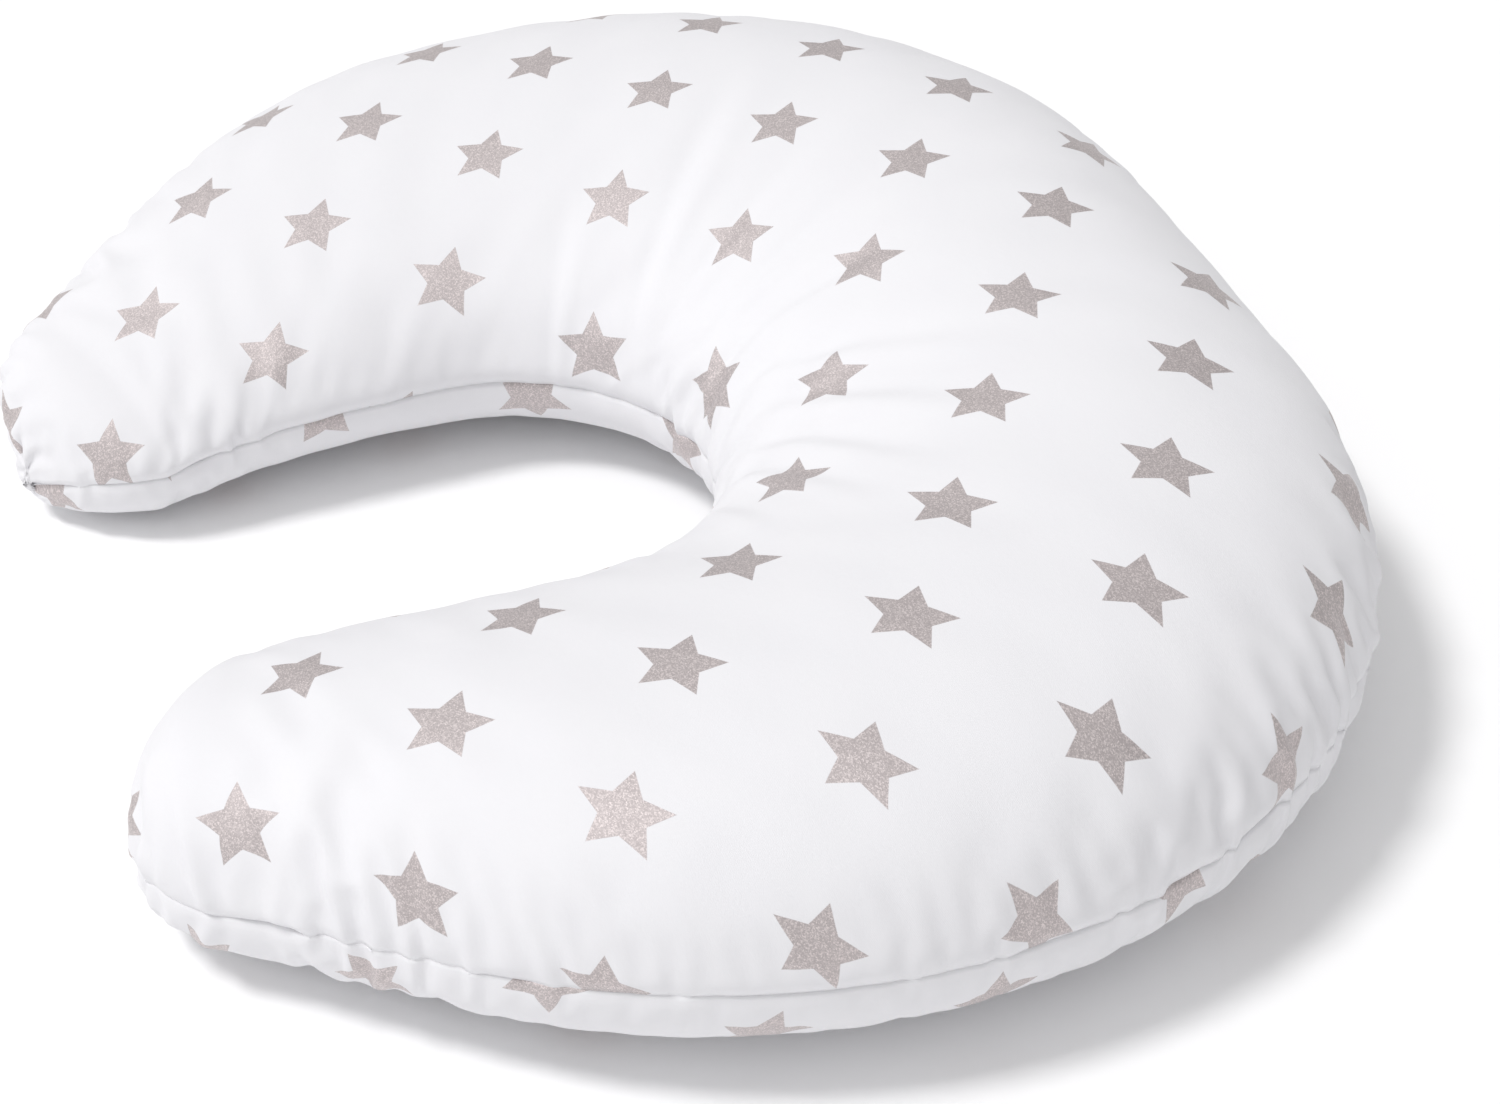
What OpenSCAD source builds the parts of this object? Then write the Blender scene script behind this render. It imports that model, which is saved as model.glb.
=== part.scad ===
// Nursing pillow: a C-shaped, fibre-filled cushion in a removable two-panel cotton cover.
// It lies flat: +Z is up, the crown points to +Y, and the opening between the arms faces -Y.
// The plan outline is made of arcs and straight lines, so every layer is an exact parallel inset of it.

/* [Pillow] */
// Overall width across the two arms
pillow_w = 600; // [560:5:640]
// Radius of the two round shoulders of the plan outline
shoulder_r = 230; // [224:1:240]
// Width of the body at the middle of the crown, outer edge to inner edge
crown_w = 222; // [212:1:230]
// Width of the opening between the arms
opening_w = 170; // [150:2:186]
// Radius of the rounded arm tips in plan
tip_r = 54; // [48:1:58]
// How far the arms reach beyond the round of the shoulders
arm_reach = 20; // [5:1:30]
// Height of the outer seam above the floor
seam_z = 50; // [46:1:54]
// Height of the crown above the seam
top_h = 76; // [66:1:86]
// Free depth of the underside below the seam, before the floor flattens it
bottom_h = 57; // [55:1:62]

/* [Cover] */
// Thickness of a cover panel
cloth_t = 1.2; // [1:0.1:1.6]
// Thickness of an inner casing panel
casing_t = 0.8; // [0.6:0.1:1]
// Room between the cover's edge and the inner casing's edge
edge_room = 8; // [7.5:0.5:10]

/* [Zip] */
// Direction of the closed end of the zip, seen from above about the left shoulder
zip_start = 101.7; // [101:0.1:103]
// Direction of the open end of the zip
zip_end = 176.3; // [170:0.1:177]
// Height of each half of the slot that the cover leaves for the zip
zip_slot = 5.5; // [5.2:0.1:6.5]
// Width of the visible part of each zip tape
tape_w = 9.5; // [8:0.5:10]
// Length of the slider along the zip
slider_l = 11; // [9:0.5:12]
// Length of the pull tab
pull_l = 24; // [18:1:30]
// Width of the pull tab
pull_w = 6.6; // [6:0.2:8]

/* [Hidden] */

// Plan outline
shoulder_x = pillow_w / 2 - shoulder_r;
inner_r = opening_w / 2;
tip_x = inner_r + tip_r;
tip_drop = sqrt(pow(shoulder_r - tip_r, 2) - pow(tip_x - shoulder_x, 2)) + arm_reach;
tip_dist = norm([tip_x - shoulder_x, tip_drop]);
shoulder_y = (tip_drop + tip_r - shoulder_r) / 2;
tip_y = shoulder_y - tip_drop;
crown_y = shoulder_y + shoulder_r;
inner_y = crown_y - crown_w - inner_r;
tip_out_a = atan2(-tip_drop, tip_x - shoulder_x) + acos((shoulder_r - tip_r) / tip_dist);
tip_mid_a = (tip_out_a - 180) / 2;
arc_len = shoulder_x + shoulder_r * (90 - tip_out_a) * PI / 180;
outer_len = arc_len + sqrt(pow(tip_dist, 2) - pow(shoulder_r - tip_r, 2));
inner_len = inner_r * PI / 2 + inner_y - tip_y;

// Stations along one half of the body, from the crown to the arm tip: [path length, tip fraction]
slot_a = 80;
slot_b = 2;
shoulder_dirs = concat([90, slot_a + 2], [for (i = [0:10]) slot_a - i * (slot_a - slot_b) / 10],
                       [0, -9, -18, -27, -36]);
half = concat([[0, 0], [shoulder_x / 2, 0]],
              [for (a = shoulder_dirs) [shoulder_x + shoulder_r * (90 - a) * PI / 180, 0]],
              [for (k = [0:3]) [arc_len + k * (outer_len - arc_len) / 4, 0]],
              [for (v = [0, 0.2, 0.4, 0.6, 0.8, 0.92, 0.985]) [outer_len, v]]);
last = len(half) - 1;
stations = concat([for (i = [last:-1:1]) [half[i][0], half[i][1], -1]],
                  [for (i = [0:last]) [half[i][0], half[i][1], 1]]);

function polar(c, r, a) = [c[0] + r * cos(a), c[1] + r * sin(a)];
function outer_at(st, d) =
    st[1] > 0 || st[0] >= outer_len
        ? polar([tip_x, tip_y], tip_r - d, tip_out_a + (tip_mid_a - tip_out_a) * st[1])
    : st[0] <= shoulder_x ? [st[0], crown_y - d]
    : st[0] >= arc_len
        ? polar([shoulder_x, shoulder_y], shoulder_r - d, tip_out_a)
            + (st[0] - arc_len) * [sin(tip_out_a), -cos(tip_out_a)]
    : polar([shoulder_x, shoulder_y], shoulder_r - d, 90 - (st[0] - shoulder_x) / shoulder_r * 180 / PI);
function inner_at(st, d) =
    let (l = st[0] / outer_len * inner_len)
    st[1] > 0 || st[0] >= outer_len
        ? polar([tip_x, tip_y], tip_r - d, -180 + (tip_mid_a + 180) * st[1])
    : l <= inner_r * PI / 2 ? polar([0, inner_y], inner_r + d, 90 - l / inner_r * 180 / PI)
    : [inner_r + d, inner_y - (l - inner_r * PI / 2)];
function half_w(st, d) = norm(outer_at(st, d) - inner_at(st, d)) / 2;

// How much of its full height the body has at a station, where loss is what it has lost at the tip's start
function fullness(st, d, loss) =
    let (f = st[0] / outer_len, start = [outer_len, 0])
    (1 - loss * f * f) * (st[1] > 0 ? pow(half_w(st, d) / half_w(start, d), 0.8) : 1);

// Slot that the cover leaves for the zip, on the left shoulder only
function rim_gap(st) =
    let (a = 90 - (st[0] - shoulder_x) / shoulder_r * 180 / PI)
    st[2] < 0 && st[1] == 0 && a < slot_a + 0.01 && a > slot_b - 0.01 ? zip_slot : 0.35;

// One layer of a panel at a station: points from the inner edge to the outer edge
steps = 14;
function row(st, d, dz, up, slot) =
    let (a = outer_at(st, d), b = inner_at(st, d), m = (a + b) / 2, r = (a - b) / 2,
         h = up > 0 ? (top_h - dz) * fullness(st, d, 0.45) : (bottom_h - dz) * fullness(st, d, 0.28))
    [for (i = [0:steps])
        let (q = 180 - 180 * i / steps, t = cos(q),
             gap = i == steps && slot ? rim_gap(st) : 0.35,
             z = up > 0 ? max(gap, h * pow(sin(q), 0.84)) : -max(gap, h * pow(sin(q), 0.9)))
        [st[2] * (m[0] + r[0] * t), m[1] + r[1] * t, max(dz, seam_z + z)]];

// Closed solid through a list of equal rings, with end caps unless the rings run in a loop
module skin_of(rings, closed = false) {
    n = len(rings[0]);
    m = len(rings);
    pts = [for (r = rings) for (p = r) p];
    sides = [for (i = [0:closed ? m - 1 : m - 2]) for (j = [0:n - 1])
                let (i2 = (i + 1) % m, j2 = (j + 1) % n,
                     a = i * n + j, b = i * n + j2, c = i2 * n + j, d = i2 * n + j2)
                for (f = [[a, c, b], [b, c, d]]) f];
    caps = closed ? [] : concat(ring_cap(n, 0, false), ring_cap(n, (m - 1) * n, true));
    polyhedron(pts, concat(sides, caps), convexity = 6);
}
// End cap of a ring whose two halves run side by side
function ring_cap(n, o, flip) =
    [for (i = [0:n / 2 - 2])
        let (a = o + i, b = o + i + 1, c = o + n - 1 - i, d = o + n - 2 - i)
        for (f = flip ? [[a, c, b], [b, c, d]] : [[a, b, c], [b, d, c]]) f];

function back(v) = [for (i = [len(v) - 1:-1:0]) v[i]];

// Cloth panel between two layers
module panel(d, dz, t, up, slot) {
    skin_of([for (st = stations)
        let (outside = row(st, d, dz, up, slot), inside = row(st, d + t, dz + t, up, slot))
        up > 0 ? concat(outside, back(inside)) : concat(inside, back(outside))]);
}

// The whole outline, inset by d: right arm tip, crown, left arm tip, and back along the opening
function flip_x(p) = [-p[0], p[1]];
function outline(d) = concat(
    [for (i = [last:-1:0]) outer_at(half[i], d)],
    [for (i = [1:last]) flip_x(outer_at(half[i], d))],
    [for (i = [last:-1:0]) flip_x(inner_at(half[i], d))],
    [for (i = [1:last]) inner_at(half[i], d)]);
// Line of thread along the outline, from point number first, over count points
module seam_line(d, t, h, first, count, closed) {
    a = outline(d);
    b = outline(d + t);
    n = len(a);
    rings = [for (k = [0:count - 1])
        let (p = a[(first + k) % n], q = b[(first + k) % n], lo = seam_z - h / 2, hi = seam_z + h / 2)
        [[p[0], p[1], hi], [q[0], q[1], hi], [q[0], q[1], lo], [p[0], p[1], lo]]];
    skin_of(rings, closed);
}
// Label that hangs from the seam, slanted to follow the underside of the rim
module label(r, from, to) {
    translate([-shoulder_x, shoulder_y, seam_z]) rotate([0, 0, from])
        rotate_extrude(angle = to - from, $fn = 180)
            polygon([[r, -2], [r - 0.4, -2], [r - 7.2, -22], [r - 6.8, -22]]);
}
// Sector of a ring about a shoulder, from radius r by t, from height z by h
module arc(r, t, z, h, from, to, side = -1) {
    translate([side * shoulder_x, shoulder_y, seam_z]) rotate([0, 0, from])
        rotate_extrude(angle = to - from, $fn = 180) translate([r, z]) square([t, h]);
}

// Layout of the zip, outwards from the casing
tape_r = shoulder_r - 4.2;
coil_r = tape_r + 0.55;
plate_r = coil_r + 2.3;
pin_r = 0.7;
pivot_r = plate_r + 2.75;
stop_a = 0.75;
slider_a = zip_start + slider_l / plate_r * 90 / PI + 0.15;

module cover_top_panel() {
    color([0.97, 0.97, 0.98]) panel(0, 0, cloth_t, 1, true);
}
module cover_bottom_panel() {
    color([0.93, 0.93, 0.95]) panel(0, 0, cloth_t, -1, true);
}
module cover_seam_thread() {
    // It stops at the zip, between the left stations 3 and 15
    color([0.88, 0.88, 0.9]) seam_line(0.2, 0.9, 0.5, last + 15, 4 * last - 9, false);
}
module cover_care_label() {
    color("white") label(shoulder_r - 4.6, 90.5, 96.5);
}
module zip_tape_upper() {
    color([0.94, 0.94, 0.95]) arc(tape_r, 0.5, 0.9, tape_w, zip_start - 3.2, zip_end + 3.2);
}
module zip_tape_lower() {
    color([0.94, 0.94, 0.95]) arc(tape_r, 0.5, -0.9 - tape_w, tape_w, zip_start - 3.2, zip_end + 3.2);
}
module zip_coil_upper() {
    color([0.9, 0.9, 0.92]) arc(coil_r, 1.9, 0.4, 2.6, zip_start, zip_end);
}
module zip_coil_lower() {
    color([0.9, 0.9, 0.92]) arc(coil_r, 1.9, -3, 2.6, zip_start, zip_end);
}
// Slider: two plates joined by a web between the coils, side flanges and a bail with a cross pin
module zip_slider() {
    a = slider_l / plate_r * 90 / PI;
    color([0.82, 0.82, 0.84]) {
        union() {
            arc(plate_r, 1.1, -4.4, 8.8, slider_a - a, slider_a + a);
            for (z = [-4.4, 3.5]) {
                arc(tape_r + 0.95, plate_r - tape_r - 0.9, z, 0.9, slider_a - a, slider_a + a);
                arc(tape_r - 0.6, 0.2, z, 0.9, slider_a - a, slider_a + a);
            }
            arc(tape_r - 2, 1.45, -4.4, 8.8, slider_a - a, slider_a + a);
            arc(tape_r - 0.6, plate_r - tape_r + 0.65, -0.25, 0.5, slider_a - a, slider_a + a);
            translate([-shoulder_x, shoulder_y, seam_z]) rotate([0, 0, slider_a]) {
                for (z = [-3.2, 2.2]) {
                    translate([plate_r + 0.9, -1.3, z]) cube([1.85, 2.6, 1]);
                    translate([pivot_r, 0, z]) cylinder(r = 1.3, h = 1, $fn = 32);
                }
                translate([pivot_r, 0, -2.7]) cylinder(r = pin_r, h = 5.4, $fn = 32);
            }
        }
    }
}
// Pull tab: an eye round the slider's pin, a flat grip and a finger hole
module zip_pull_tab() {
    color([0.86, 0.86, 0.88])
    translate([-shoulder_x, shoulder_y, seam_z]) rotate([0, 0, slider_a]) translate([pivot_r, 0, 0])
        difference() {
            union() {
                translate([0, 0, -1.9]) cylinder(r = 1.4, h = 3.8, $fn = 32);
                translate([-0.6, 0, -1.9]) cube([1.2, 4, 3.8]);
                translate([-0.6, 2.6, -pull_w / 2]) cube([1.2, pull_l - 2.6 - pull_w / 2, pull_w]);
                translate([-0.6, pull_l - pull_w / 2, 0]) rotate([0, 90, 0])
                    cylinder(d = pull_w, h = 1.2, $fn = 48);
            }
            translate([0, 0, -3]) cylinder(r = pin_r + 0.12, h = 6, $fn = 32);
            translate([-2, pull_l - pull_w / 2, 0]) rotate([0, 90, 0])
                cylinder(d = pull_w * 0.45, h = 4, $fn = 32);
        }
}
module zip_top_stops() {
    color([0.82, 0.82, 0.84]) for (z = [0.4, -3.2])
        arc(coil_r, 2, z, 2.8, zip_start - stop_a, zip_start - 0.05);
}
module zip_bottom_stop() {
    color([0.82, 0.82, 0.84]) arc(coil_r, 2, -3.2, 6.4, zip_end + 0.05, zip_end + 1.1);
}
// Two rows of stitching that hold the folded panel edges to the tapes
module zip_topstitch() {
    color([0.86, 0.86, 0.88]) for (z = [7.2, -7.7])
        arc(shoulder_r - 0.15, 0.45, z, 0.5, 100, 178);
}
module zip_bar_tacks() {
    color([0.86, 0.86, 0.88]) for (a = [zip_start - 2.4, zip_end + 1.9])
        arc(coil_r, 0.6, -4, 8, a, a + 0.5);
}
module inner_casing_top() {
    color([0.96, 0.95, 0.93]) panel(edge_room, cloth_t + 0.6, casing_t, 1, false);
}
module inner_casing_bottom() {
    color([0.96, 0.95, 0.93]) panel(edge_room, cloth_t + 0.6, casing_t, -1, false);
}
module casing_seam_thread() {
    color([0.9, 0.9, 0.88]) seam_line(edge_room + 0.1, 0.6, 0.5, 0, 4 * last + 2, true);
}
// Stitched-up gap on the right shoulder, through which the pillow was filled
module casing_closing_stitch() {
    color([0.85, 0.85, 0.86])
        arc(shoulder_r - edge_room + 0.15, 0.5, -0.6, 1.2, 28, 62, side = 1);
}
module inner_care_label() {
    color("white") label(shoulder_r - 6.1, 186, 192);
}
// Loose fibre filling, shown as the space that it takes up
module fibre_fill() {
    in = edge_room + casing_t + 0.9;
    dz = cloth_t + 0.6 + casing_t + 0.9;
    color([0.99, 0.99, 1]) skin_of([for (st = stations)
        concat(row(st, in, dz, 1, false), back(row(st, in, dz, -1, false)))]);
}

cover_top_panel();
cover_bottom_panel();
cover_seam_thread();
cover_care_label();
zip_tape_upper();
zip_tape_lower();
zip_coil_upper();
zip_coil_lower();
zip_slider();
zip_pull_tab();
zip_top_stops();
zip_bottom_stop();
zip_topstitch();
zip_bar_tacks();
inner_casing_top();
inner_casing_bottom();
casing_seam_thread();
casing_closing_stitch();
inner_care_label();
fibre_fill();
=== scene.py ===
import math

import bpy
import numpy as np
from mathutils import Matrix, Vector


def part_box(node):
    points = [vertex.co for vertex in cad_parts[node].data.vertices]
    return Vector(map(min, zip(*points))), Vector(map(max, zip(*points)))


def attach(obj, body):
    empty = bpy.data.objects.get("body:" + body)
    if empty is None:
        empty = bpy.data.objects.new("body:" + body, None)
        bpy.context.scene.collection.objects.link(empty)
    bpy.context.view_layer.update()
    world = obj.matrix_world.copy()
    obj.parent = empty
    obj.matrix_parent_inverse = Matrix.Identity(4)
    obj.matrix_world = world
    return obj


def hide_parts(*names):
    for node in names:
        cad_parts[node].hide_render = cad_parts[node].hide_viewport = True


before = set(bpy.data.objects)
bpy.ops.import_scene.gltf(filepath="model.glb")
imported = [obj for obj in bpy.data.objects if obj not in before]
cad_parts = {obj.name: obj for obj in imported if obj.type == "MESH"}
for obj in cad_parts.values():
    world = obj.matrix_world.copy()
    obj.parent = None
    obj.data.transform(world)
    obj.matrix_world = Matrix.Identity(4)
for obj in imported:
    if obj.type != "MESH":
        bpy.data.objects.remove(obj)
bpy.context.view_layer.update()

# Shapes are worked out in millimetres, in the CAD model's own frame, and turned into metres at the end.
MM = 0.001

# ---------------------------------------------------------------- shape of the pillow
# Plan outline, as in the CAD model
PILLOW_W = 600.0
SHOULDER_R = 230.0
CROWN_W = 222.0
OPENING_W = 170.0
TIP_R = 54.0
ARM_REACH = 20.0
# Heights of the outer seam at the crown, of the top above it and of the bottom below it
SEAM_Z = 50.8
TOP_H = 75.1
BOTTOM_H = 53.8
# How they change towards the tips, by powers of f, the share of the half length: f^2 and f^4, or f^2 and f^8
SEAM_RISE = (16.4, -21.2)
TOP_LOSS = (0.33, 0.19)
BOTTOM_LOSS = (0.25, 0.1)
# Powers of the sine that rounds a cross-section: below 1 it is squarer. The crest stands a little outwards.
TOP_POWER = 0.88
BOTTOM_POWER = 0.82
CREST_SHIFT = 0.12
# What differs between the two arms, (+X arm, -X arm): height, seam, reach in -Y, inner and outer edge
ARM_FULLNESS = (0.16, -0.10)
ARM_SEAM = (2.0, -2.0)
ARM_LENGTH = (6.6, 6.6)
ARM_NARROWING = (16.8, 3.0)
ARM_OUTER = (1.4, -1.4)
# How far the seam hangs down: inside the bend, inside the arms, at their ends and at the tips
INNER_SEAM_DROP = 6.0
ARM_INNER_DROP = (5.5, 10.0)
END_DROP = (7.0, 3.0)
TIP_DROOP = 15.0
# How fast the height goes to nothing round a tip
TIP_POWER = 0.7
# Zip zone on the -X shoulder: directions about that shoulder's centre, and over how many degrees it fades
ZIP_FROM = 100.0
ZIP_TO = 178.0
ZIP_FADE = 2.0
# Half the zip's slot, its height, and where the seam comes to that height and leaves it, as values of f
ZIP_SLOT = 5.5
ZIP_Z = 50.0
ZIP_LEVEL_FROM = (0.10, 0.155)
ZIP_LEVEL_TO = (0.60, 0.74)

# Cross-sections in half the pillow and round a tip, and points over the top and under the bottom
HALF_ROWS = 200
TIP_ROWS = 20
TOP_COLS = 73
BOTTOM_COLS = 57
# The last cross-section stands just short of the tip's own line, where the section has no width
LAST_TURN = 0.985


def plan():
    """The few lengths and angles that the arcs and lines of the outline are drawn from."""
    p = {"sx": PILLOW_W / 2 - SHOULDER_R, "ri": OPENING_W / 2}
    p["tx"] = p["ri"] + TIP_R
    across = p["tx"] - p["sx"]
    drop = math.sqrt((SHOULDER_R - TIP_R) ** 2 - across**2) + ARM_REACH
    reach = math.hypot(across, drop)
    p["sy"] = (drop + TIP_R - SHOULDER_R) / 2
    p["ty"] = p["sy"] - drop
    p["cy"] = p["sy"] + SHOULDER_R
    p["iy"] = p["cy"] - CROWN_W - p["ri"]
    p["tip_out"] = math.atan2(-drop, across) + math.acos((SHOULDER_R - TIP_R) / reach)
    p["tip_mid"] = (p["tip_out"] - math.pi) / 2
    p["arc"] = p["sx"] + SHOULDER_R * (math.pi / 2 - p["tip_out"])
    p["outer"] = p["arc"] + math.sqrt(reach**2 - (SHOULDER_R - TIP_R) ** 2)
    p["inner"] = p["ri"] * math.pi / 2 + p["iy"] - p["ty"]
    return p


PLAN = plan()


def bump(x, centre, width):
    """1 at the centre, falling off over that width to both sides."""
    return np.exp(-(((x - centre) / width) ** 2))


def ramp(x, low, high):
    """0 up to low, 1 from high on, and smooth in between."""
    t = np.clip((x - low) / (high - low), 0, 1)
    return t * t * (3 - 2 * t)


def edges(along, tip, inset):
    """Outer and inner points of the half outline, for shares of its length and turns round the tip."""
    p = PLAN
    outer_r, tip_r, inner_r = SHOULDER_R - inset, TIP_R - inset, p["ri"] + inset
    run = along * p["outer"]
    turn = math.pi / 2 - (np.clip(run, p["sx"], p["arc"]) - p["sx"]) / SHOULDER_R
    beyond = np.clip(run - p["arc"], 0, None)
    crown = run <= p["sx"]
    ox = np.where(crown, run, p["sx"] + outer_r * np.cos(turn) + beyond * math.sin(p["tip_out"]))
    oy = np.where(crown, p["cy"] - inset,
                  p["sy"] + outer_r * np.sin(turn) - beyond * math.cos(p["tip_out"]))
    run = along * p["inner"]
    turn = np.clip(run / p["ri"], 0, math.pi / 2)
    ix = inner_r * np.sin(turn)
    iy = p["iy"] + inner_r * np.cos(turn) - np.clip(run - p["ri"] * math.pi / 2, 0, None)
    out_a = p["tip_out"] + (p["tip_mid"] - p["tip_out"]) * tip
    in_a = -math.pi + (p["tip_mid"] + math.pi) * tip
    body = tip <= 0
    outer = np.stack([np.where(body, ox, p["tx"] + tip_r * np.cos(out_a)),
                      np.where(body, oy, p["ty"] + tip_r * np.sin(out_a))], 1)
    inner = np.stack([np.where(body, ix, p["tx"] + tip_r * np.cos(in_a)),
                      np.where(body, iy, p["ty"] + tip_r * np.sin(in_a))], 1)
    return outer, inner


def stations():
    """Share of the half length, turn round the tip and side (-1, 0, +1) of every cross-section."""
    along = np.r_[np.linspace(0, 1, HALF_ROWS), np.ones(TIP_ROWS)]
    tip = np.r_[np.zeros(HALF_ROWS), np.linspace(0, LAST_TURN, TIP_ROWS + 1)[1:]]
    side = np.r_[-np.ones(len(along) - 1), 0, np.ones(len(along) - 1)]
    return np.r_[along[:0:-1], along], np.r_[tip[:0:-1], tip], side


ALONG, TIP, SIDE = stations()
ROWS = len(ALONG)
MIDDLE = ROWS // 2


def by_arm(pair):
    """Value of every cross-section from a (+X arm, -X arm) pair."""
    return np.where(SIDE > 0, pair[0], pair[1])


def sections(inset=0.0, sunk=0.0):
    """Top and bottom sheets as grids of points: cross-sections by points from inner to outer edge.

    inset moves both edges inwards in the plan, and sunk takes that much off the top and the bottom.
    """
    half_out, half_in = edges(ALONG[MIDDLE:], TIP[MIDDLE:], inset)
    mirrored = np.array([-1.0, 1.0])
    outer = np.vstack([half_out[:0:-1] * mirrored, half_out])
    inner = np.vstack([half_in[:0:-1] * mirrored, half_in])
    f = ALONG
    width = np.linalg.norm(outer - inner, axis=1)
    tip_share = np.where(TIP > 0, (width / width[MIDDLE + HALF_ROWS - 1]) ** TIP_POWER, 1)
    seam = SEAM_Z + SEAM_RISE[0] * f**2 + SEAM_RISE[1] * f**4 + by_arm(ARM_SEAM) * f**3
    seam = seam - by_arm(END_DROP) * f**8 - TIP_DROOP * TIP**2
    at_zip = np.where(SIDE < 0, ramp(f, *ZIP_LEVEL_FROM) * (1 - ramp(f, *ZIP_LEVEL_TO)), 0)
    rise = (TOP_H - sunk) * (1 - TOP_LOSS[0] * f**2 - TOP_LOSS[1] * f**4 + by_arm(ARM_FULLNESS) * f**3)
    depth = (BOTTOM_H - sunk) * (1 - BOTTOM_LOSS[0] * f**2 - BOTTOM_LOSS[1] * f**8)
    sheets = []
    for cols, height, power, sign in ((TOP_COLS, rise, TOP_POWER, 1),
                                      (BOTTOM_COLS, depth, BOTTOM_POWER, -1)):
        angle = math.pi * (1 - np.arange(cols) / (cols - 1))
        t = np.cos(angle)
        round_up = np.sin(angle).clip(0) ** power
        t = t[None] + CREST_SHIFT * (1 - t[None] ** 2)
        t = np.repeat(t, ROWS, axis=0)
        xy = (outer + inner)[:, None] / 2 + (outer - inner)[:, None] / 2 * t[..., None]
        inward, outward = (1 - t) / 2, (1 + t) / 2
        xy[..., 0] -= (SIDE * by_arm(ARM_NARROWING) * f**4 * (1 - TIP))[:, None] * inward
        xy[..., 0] += (SIDE * by_arm(ARM_OUTER) * f**4)[:, None] * outward
        xy[..., 1] -= (by_arm(ARM_LENGTH) * f**8)[:, None]
        z = (seam + (ZIP_Z - seam) * at_zip)[:, None] * outward + seam[:, None] * inward
        z = z - (INNER_SEAM_DROP * (1 - f**2) + by_arm(ARM_INNER_DROP) * f)[:, None] * inward
        z = z + sign * (height * tip_share)[:, None] * round_up[None]
        sheets.append(np.dstack([xy, np.maximum(z, sunk)]))
    return sheets


# ---------------------------------------------------------------- the cloth as rings of points
def ring_grid(top, bottom):
    """One closed ring per cross-section: inner edge, over the top, outer edge, and back underneath."""
    return np.concatenate([top, bottom[:, -2:0:-1]], axis=1)


def normals(grid):
    """Directions that point out of the closed rings, for all their points."""
    along = np.gradient(grid, axis=0)
    round_it = np.roll(grid, -1, 1) - np.roll(grid, 1, 1)
    n = np.cross(round_it, along)
    n /= np.linalg.norm(n, axis=2)[..., None] + 1e-9
    centre = grid.mean(axis=1, keepdims=True)
    flip = np.sign(((grid - centre) * n).sum(2).mean())
    return n * flip


# Three box blurs come close to a round one.
BLUR_PASSES = 3


def smooth(field, rows, cols):
    """Blurs a field over the grid, by about rows stations and cols points round the section."""
    out = field.copy()
    for _ in range(BLUR_PASSES):
        pad = np.pad(out, ((rows, rows),) + ((0, 0),) * (out.ndim - 1), mode="edge")
        total = np.cumsum(np.concatenate([pad[:1] * 0, pad]), axis=0)
        out = (total[2 * rows + 1:] - total[:-2 * rows - 1]) / (2 * rows + 1)
        pad = np.concatenate([out[:, -cols:], out, out[:, :cols]], axis=1)
        total = np.cumsum(np.concatenate([pad[:, :1] * 0, pad], axis=1), axis=1)
        out = (total[:, 2 * cols + 1:] - total[:, :-2 * cols - 1]) / (2 * cols + 1)
    return out


def zip_share():
    """1 at the stations where the cover has the zip, falling to 0 just beyond its ends."""
    run = ALONG * PLAN["outer"]
    direction = 90 + np.degrees((run - PLAN["sx"]) / SHOULDER_R)
    on = ramp(direction, ZIP_FROM - ZIP_FADE, ZIP_FROM) * (1 - ramp(direction, ZIP_TO, ZIP_TO + ZIP_FADE))
    return np.where((SIDE < 0) & (TIP == 0), on, 0)


def seam_distance(grid):
    """Distance along the cloth to the inner and to the outer seam, for every point of the rings."""
    step = np.linalg.norm(np.roll(grid, -1, 1) - grid, axis=2)
    along_top = np.concatenate([step[:, :1] * 0, np.cumsum(step, axis=1)], axis=1)
    seam = TOP_COLS - 1
    here, total = along_top[:, :-1], along_top[:, -1:]
    to_outer = np.abs(here - here[:, seam:seam + 1])
    to_inner = np.minimum(here, total - here)
    return to_inner, to_outer


SEAM_GROOVE = 1.1


def seam_roll(distance, width, bulge):
    """Cloth beside a seam bulges a little, and the seam itself lies in a groove."""
    return bulge * bump(distance, width, 0.8 * width) - SEAM_GROOVE * bump(distance, 0, 0.25 * width)


# ---------------------------------------------------------------- cloth over the filling
# The simulation's steps, the share of its speed that the cloth keeps in a step, and how far a step goes
SIM_STEPS = 420
SIM_KEEPS = 0.9
SIM_PACE = 0.09
# Stiffness against bending, the most of it in any place, and the pull back to where the cloth began
SOFTNESS = 0.003
MOST_BEND = 0.25
DRAG_BACK = 0.0006
# The filling's hold on the cloth: its least and its most, and what the zip and the ground add
HOLD_RANGE = (2e-5, 0.02)
HOLD_AT_ZIP = 0.05
HOLD_ON_GROUND = 0.2
# Steps of the grid that springs join, along the pillow and round the section, and their stiffness
RING_SPRINGS = (((1, 0), 1.0), ((0, 1), 1.0), ((1, 1), 0.3), ((1, -1), 0.3))
# The outer seam is gathered most about this far along, on the part beside the picture's right edge
GATHER_AT = 0.36


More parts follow.
